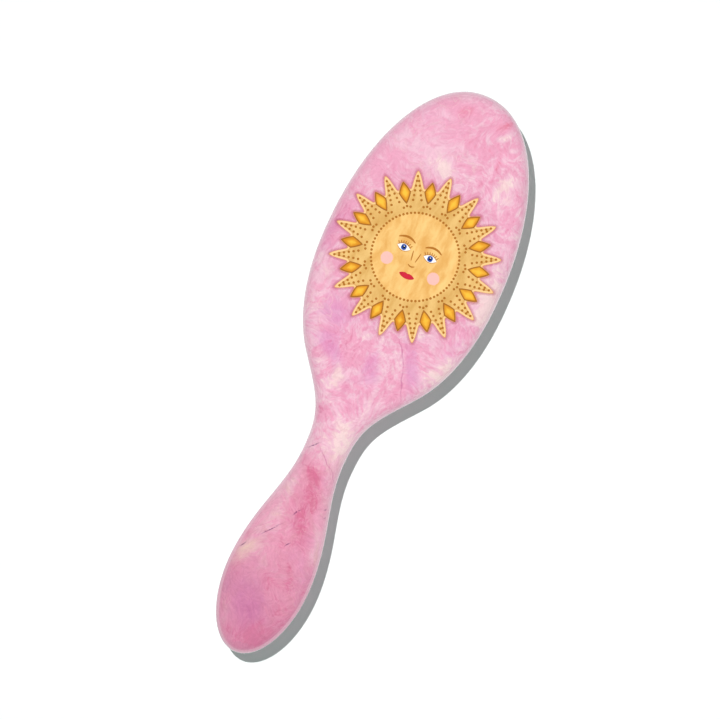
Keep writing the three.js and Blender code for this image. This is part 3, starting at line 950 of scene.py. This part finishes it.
def make_marble():
    """Pearly pink acetate: clouds and flakes with strokes that run each their own way, from rose over
    pink to cream, with lilac places, folds and threads, and a line near its edge. tone says how pale
    a place is, and orchid how lilac."""
    f = Finish("marbled acetate", Coat_Weight=0.1, Coat_Roughness=0.08, Specular_IOR_Level=0.4)
    place = f.place()
    x, y, _ = f.split(place)
    wavy = f.drifted(f.drifted(place, 42, 26), 9, 6)
    curly = f.drifted(wavy, 3.5, 2.6)
    calm = f.ramp(y, -10, 12) * f.ramp(x, 44, 72)
    broad = f.noise(wavy, 26, detail=3)
    haze = f.noise(f.vector("ADD", wavy, (-52, 18, 0)), 15, detail=4)
    swirl = f.noise(curly, 6, detail=5, rough=0.62)
    big_flakes = f.cells(curly, 10)
    small_flakes = f.cells(curly, 4.6)
    big_strokes = f.streaks(wavy, big_flakes, 11, 1.7)
    small_strokes = f.streaks(wavy, small_flakes, 5, 0.8)
    flakes = f.split(big_flakes)[1] * 0.6 + f.split(small_flakes)[1] * 0.4

    on_handle = f.ramp(x, -26, -42)
    at_end = f.ramp(x, -62, -98)
    right = f.ramp(y, 16, -24) * (1 - on_handle)
    near_tip = f.ramp(x, 60, 98)

    near_x, near_y, _ = f.split(f.drifted(place, 6, 3))
    feathers = 0.5 + big_strokes

    def patches(places):
        """All patches of one kind, feathered by the strokes."""
        return together([f.patch(near_x, near_y, *each) for each in places]) * feathers

    fine = swirl * 0.75 + big_strokes * 0.8 + small_strokes * 0.35 + flakes * 0.22 - 1.06
    tone = broad * 0.5 + 0.28 + fine * (1 - calm * 0.55)
    tone = tone + right * 0.06 - on_handle * 0.1 - near_tip * 0.06
    tone = tone + patches(CREAM_PATCHES) * 0.34 - patches(ROSE_PATCHES) * 0.25
    orchid = haze + flakes * 0.14 + patches(ORCHID_PATCHES) * 0.34 - right * 0.06 - near_tip * 0.1

    tint = f.blend(ROSE, CORAL, near_tip)
    for paler, low, high in TONE_STEPS:
        tint = f.blend(tint, paler, f.ramp(tone, low, high))
    tint = f.blend(tint, ORCHID, f.ramp(orchid, 0.58, 0.95) * 0.6)
    fold = abs(f.noise(wavy, 14, detail=3, rough=0.6) - 0.5)
    tint = f.blend(tint, CREAM_PINK, f.ramp(fold, 0.012, 0.0) * f.ramp(broad, 0.45, 0.6) * 0.5)
    tint = f.blend(tint, ROSE, f.ramp(fold, 0.045, 0.012) * 0.14)
    tint = f.blend(tint, WARM_ROSE, on_handle * (big_strokes * 1.2 - 0.26))
    tint = f.blend(tint, DULL_ROSE, at_end * (flakes * 0.5 + 0.26))
    dusk = f.patch(near_x, near_y, *DUSK_PATCH) * (swirl * 2.2 - 0.65)
    tint = f.blend(tint, DUSKY_LILAC, dusk)
    beige = f.patch(near_x, near_y, *BEIGE_PATCH) * (big_strokes * 1.6 - 0.12)
    tint = f.blend(tint, BEIGE, beige)

    seams = together([f.patch(near_x, near_y, *seam) for seam in SEAMS])
    tint = f.blend(tint, ORCHID, f.patch(near_x, near_y, *SEAM_SHADE) * 0.45)
    tint = f.blend(tint, SEAM_TINT, (seams * 0.6).least(1.0))

    thin_x, thin_y, _ = f.split(f.drifted(place, 2.5, 1.0))
    lines = []
    for (x0, y0), (x1, y1) in THREADS:
        middle = ((x0 + x1) / 2, (y0 + y1) / 2)
        half = math.hypot(x1 - x0, y1 - y0) * 0.36
        tilt = math.degrees(math.atan2(y1 - y0, x1 - x0))
        lines.append(f.patch(thin_x, thin_y, middle, half, 0.2, tilt))
    broken = f.ramp(f.noise(place, 0.9), 0.3, 0.5)
    tint = f.blend(tint, DARK_THREAD, (together(lines) * broken).least(1.0))

    # a faint painted shadow: darker rose in a ring just round the sun
    around = ((x - SUN_X) * (x - SUN_X) + y * y).root()
    tint = f.blend(tint, RING_SHADOW_ROSE, f.ramp(around, 36, 31) * 0.07)

    inset = f.attribute("inset")
    line = f.ramp(abs(inset - 1.2), 0.22, 0.02)
    upper_handle = f.ramp(x, -76, -62) * on_handle
    tint = f.blend(tint, PALE_PINK, f.ramp(inset, 6.5, 1.0) * upper_handle * 0.3)
    tint = f.blend(tint, PALE_PINK, f.ramp(inset, 1.3, 1.1) * 0.4)
    tint = f.blend(tint, DULL_ROSE, line * 0.2)
    grain = f.noise(place, 0.8, detail=3, rough=0.7)
    level = BASE_LEVEL * 0.9 + grain * 0.17 + (small_strokes - 0.5) * 0.28
    f.put("Base Color", f.shade(tint, level))
    f.put("Roughness", 0.09 + grain * 0.03)
    return f.material


def make_gold():
    """The sun's painted gold: brushed strokes, a cream border inside a brown outline, a darker ring
    of rays, and round pink cheeks."""
    f = Finish("painted gold", Roughness=0.75, Coat_Weight=0.15, Coat_Roughness=0.08)
    place = f.place()
    x, y, _ = f.split(place)
    up, side = x - SUN_X, y
    out = (up * up + side * side).root()
    wash = f.noise(f.vector("MULTIPLY", f.drifted(place, 8, 4), (0.5, 1.3, 1)), 5, detail=4, rough=0.6)
    tint = f.blend(*FACE_GOLDS, f.ramp(wash, 0.32, 0.68))
    rays = f.blend(*RAY_GOLDS, f.ramp(wash + f.ramp(out, 18, 30) * 0.2, 0.3, 0.7))
    tint = f.blend(tint, rays, f.ramp(out, FACE_RING_R - 0.8, FACE_RING_R + 0.9))
    edge = f.attribute("edge")
    tint = f.blend(tint, BORDER_SHADE, f.ramp(edge, 1.7, 0.9) * 0.5)
    tint = f.blend(tint, BORDER_CREAM, f.ramp(edge, 0.9, 0.7))
    tint = f.blend(tint, BORDER_BROWN, f.ramp(edge, 0.36, 0.12) * 0.8)
    grain = f.noise(place, 0.5, detail=2)
    for turned_side in (1, -1):
        du, ds = up - CHEEK_UP, side - CHEEK_SIDE * turned_side
        cheek = (du * du + ds * ds).root() + (grain - 0.5) * 0.5
        tint = f.blend(tint, CHEEK_PINK, f.ramp(cheek, 2.5, 2.1) * 0.92)
    f.put("Base Color", f.shade(tint, 0.96 + grain * 0.08))
    f.bump(grain, 0.1, 0.0001)
    return f.material


def make_shadow_band_tint():
    """The painted shadow round the sun, a darker rose that fades out away from it."""
    f = Finish("rosy painted shadow", Base_Color=BAND_SHADOW_ROSE, Roughness=0.3)
    cloud = f.noise(f.place(), 1.6, detail=2)
    f.put("Alpha", f.ramp(f.attribute("away") + cloud * 0.6, 1.7, 0.2) * 0.42)
    return f.material


def make_amber():
    """Amber stones: brown at the rim and a painted highlight of lighter yellow towards the middle, each
    a little lighter or darker.
    """
    f = Finish("amber stone", Roughness=0.12, Coat_Weight=0.5, Coat_Roughness=0.04)
    share, gem = f.attribute("share"), f.attribute("gem")
    number = f.node("CombineXYZ", None, {0: gem * 7.31})
    bright = f.noise(number, 1.0, detail=0)
    cloud = f.noise(f.place(), 2.6, detail=2)
    # painted highlight: the amber turns lighter yellow towards each dome's middle
    painted_highlight = f.ramp(1 - share + (cloud - 0.5) * 0.9 + (bright - 0.5) * 0.9, 0.1, 0.95)
    tint = f.blend(*AMBER_AND_HIGHLIGHT, painted_highlight)
    tint = f.blend(tint, AMBER_RIM, f.ramp(share, 0.74, 0.83) * 0.9)
    f.put("Base Color", tint)
    return f.material


def make_plain(name, tint, size=2.0, depth=0.08, **sockets):
    """An even colour with slight lighter and darker clouds."""
    f = Finish(name, **sockets)
    cloud = f.noise(f.place(), size, detail=3)
    f.put("Base Color", f.shade(tint, 1 - depth / 2 + cloud * depth))
    return f.material


def make_iris():
    """A blue iris, mottled darker and lighter by a fine grain."""
    f = Finish("iris blue", Roughness=0.15, Coat_Weight=0.6)
    grain = f.noise(f.place(), 0.25, detail=2)
    f.put("Base Color", f.blend(*IRIS_BLUES, f.ramp(grain, 0.35, 0.65)))
    return f.material


def make_rubber():
    """Matt rubber of the cushion, in soft lighter and darker clouds, with a fine grain."""
    f = Finish("cushion rubber", Roughness=0.62, Sheen_Weight=0.1)
    place = f.place()
    cloud = f.noise(place, 7, detail=3)
    grain = f.noise(place, 0.35, detail=2)
    f.put("Base Color", f.blend(*RUBBER_PINKS, f.ramp(cloud, 0.3, 0.7)))
    f.bump(grain, 0.25, 0.00006)
    return f.material


def make_nylon():
    """Translucent white nylon with rose ball ends."""
    f = Finish("pin nylon", Roughness=0.28, Subsurface_Weight=0.15, Subsurface_Scale=0.001)
    cloud = f.noise(f.place(), 3, detail=2)
    shaft = f.blend(*NYLON_WHITES, cloud)
    f.put("Base Color", f.blend(shaft, BALL_ROSE, f.attribute("ball")))
    return f.material


def make_frame_plastic():
    """Glossy rose plastic of the front, with the faint flow lines of its moulding."""
    f = Finish("rose plastic", Roughness=0.24, Coat_Weight=0.2, Coat_Roughness=0.1)
    place = f.place()
    flow = f.noise(f.vector("MULTIPLY", f.drifted(place, 30, 18), (0.3, 1, 1)), 9, detail=4)
    grain = f.noise(place, 0.6, detail=2)
    f.put("Base Color", f.blend(*FRAME_ROSES, f.ramp(flow, 0.3, 0.7)))
    f.put("Roughness", 0.22 + grain * 0.06)
    return f.material


# ---- the pieces ----
MARBLE = make_marble()
GOLD = make_gold()
SHADOW_BAND_TINT = make_shadow_band_tint()
AMBER = make_amber()
BROWN_PAINT = make_plain("brown paint", colour(176, 112, 40), Roughness=0.45)
WHITE_PAINT = make_plain("eye white", colour(250, 250, 248), depth=0.04, Roughness=0.2)
IRIS = make_iris()
PUPIL = make_plain("pupil black", colour(18, 20, 36), Roughness=0.15)
RED_PAINT = make_plain("lip red", colour(204, 40, 62), size=0.8, depth=0.3, Roughness=0.25)
DEEP_RED = make_plain("lip line red", colour(120, 20, 36), Roughness=0.4)
RUBBER = make_rubber()
NYLON = make_nylon()
FRAME_PLASTIC = make_frame_plastic()
CLAMP_PLASTIC = make_plain("clamp plastic", colour(236, 226, 228), Roughness=0.4)
FOAM = make_plain("backing foam", colour(206, 200, 202), size=0.6, depth=0.3, Roughness=0.95)

FACE_PAINTS = {
    "sun_eye_whites": WHITE_PAINT,
    "sun_irises": IRIS,
    "sun_pupils": PUPIL,
    "sun_glints": WHITE_PAINT,
    "sun_face_lines": BROWN_PAINT,
    "sun_lips": RED_PAINT,
    "sun_lip_seam": DEEP_RED,
}


def finish_piece(piece, material, body, *stands_for):
    """Gives a piece its material, the body it rides and the nodes that it replaces."""
    piece.data.materials.append(material)
    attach(piece, body)
    if stands_for:
        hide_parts(*stands_for)
    return piece


def build_pieces():
    """Makes every piece, and gives the carried-over nodes their materials."""
    finish_piece(make_back_cover(), MARBLE, "root", "back_cover")
    finish_piece(make_front_frame(), FRAME_PLASTIC, "root", "front_frame")
    finish_piece(make_sun_plate(), GOLD, "root")
    # the sun's painted shadow: a darker rose band round its outline
    finish_piece(make_sun_shadow_band(), SHADOW_BAND_TINT, "root")
    finish_piece(make_sun_gems(), AMBER, "root")
    finish_piece(make_sun_dots(), BROWN_PAINT, "root")
    for piece in make_face():
        finish_piece(piece, FACE_PAINTS[piece.name], "root")
    for number, k in enumerate(COLUMNS, 1):
        column = make_column(number, k)
        finish_piece(column, NYLON, f"pins_{number:02d}", f"bristle_column_{number:02d}")
    cushion = finish_piece(make_cushion(), RUBBER, "root", "cushion_pad")
    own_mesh(cushion)
    for node, material in (("pad_clamp_ring", CLAMP_PLASTIC), ("pin_backing_sheet", FOAM)):
        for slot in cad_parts[node].material_slots:
            slot.material = material


build_pieces()


# ---- floor, light and camera ----
def make_floor():
    """A white floor, a touch less red so that what the brush throws back on it looks grey."""
    mesh = bpy.data.meshes.new("floor")
    far = FLOOR_REACH
    corners = [(-far, -far, 0), (far, -far, 0), (far, far, 0), (-far, far, 0)]
    mesh.from_pydata(corners, [], [(0, 1, 2, 3)])
    floor = bpy.data.objects.new("floor", mesh)
    bpy.context.scene.collection.objects.link(floor)
    f = Finish("white floor", Roughness=1.0, Base_Color=FLOOR_TINT, Specular_IOR_Level=0.0)
    f.put("Emission Color", FLOOR_GLOW)
    f.put("Emission Strength", 1.0)
    mesh.materials.append(f.material)


def add_sun(name, power, towards, spread):
    """A sun lamp, left out of reflections. Returns the lamp's data."""
    lamp = bpy.data.lights.new(name, "SUN")
    lamp.energy = power
    lamp.angle = math.radians(spread)
    sun = bpy.data.objects.new(name, lamp)
    sun.rotation_euler = Vector(towards).to_track_quat("-Z", "Y").to_euler()
    sun.visible_glossy = False
    bpy.context.scene.collection.objects.link(sun)
    return lamp


def make_light():
    """A sun almost overhead, a weaker one without shadows from the other side, and an even sky."""
    add_sun("sun", SUN_POWER, SUN_TOWARDS, 0.6)
    add_sun("fill", FILL_POWER, FILL_TOWARDS, 30).use_shadow = False
    world = bpy.data.worlds.new("sky")
    world.use_nodes = True
    sky = world.node_tree.nodes["Background"].inputs
    sky["Color"].default_value = (1, 1, 1, 1)
    sky["Strength"].default_value = SKY_POWER
    bpy.context.scene.world = world


def make_camera():
    """A long lens straight above, turned so that the brush leans to the right."""
    lens = bpy.data.cameras.new("camera")
    lens.lens = LENS
    lens.clip_start = 0.01
    camera = bpy.data.objects.new("camera", lens)
    distance = VIEW_WIDTH * MM * lens.lens / lens.sensor_width
    camera.location = (VIEW_X * MM, VIEW_Y * MM, PARTING_Z * MM + distance)
    camera.rotation_euler = (0, 0, math.radians(-VIEW_TURN))
    bpy.context.scene.collection.objects.link(camera)
    bpy.context.scene.camera = camera


make_floor()
make_light()
make_camera()
bpy.context.scene.view_settings.view_transform = "Standard"
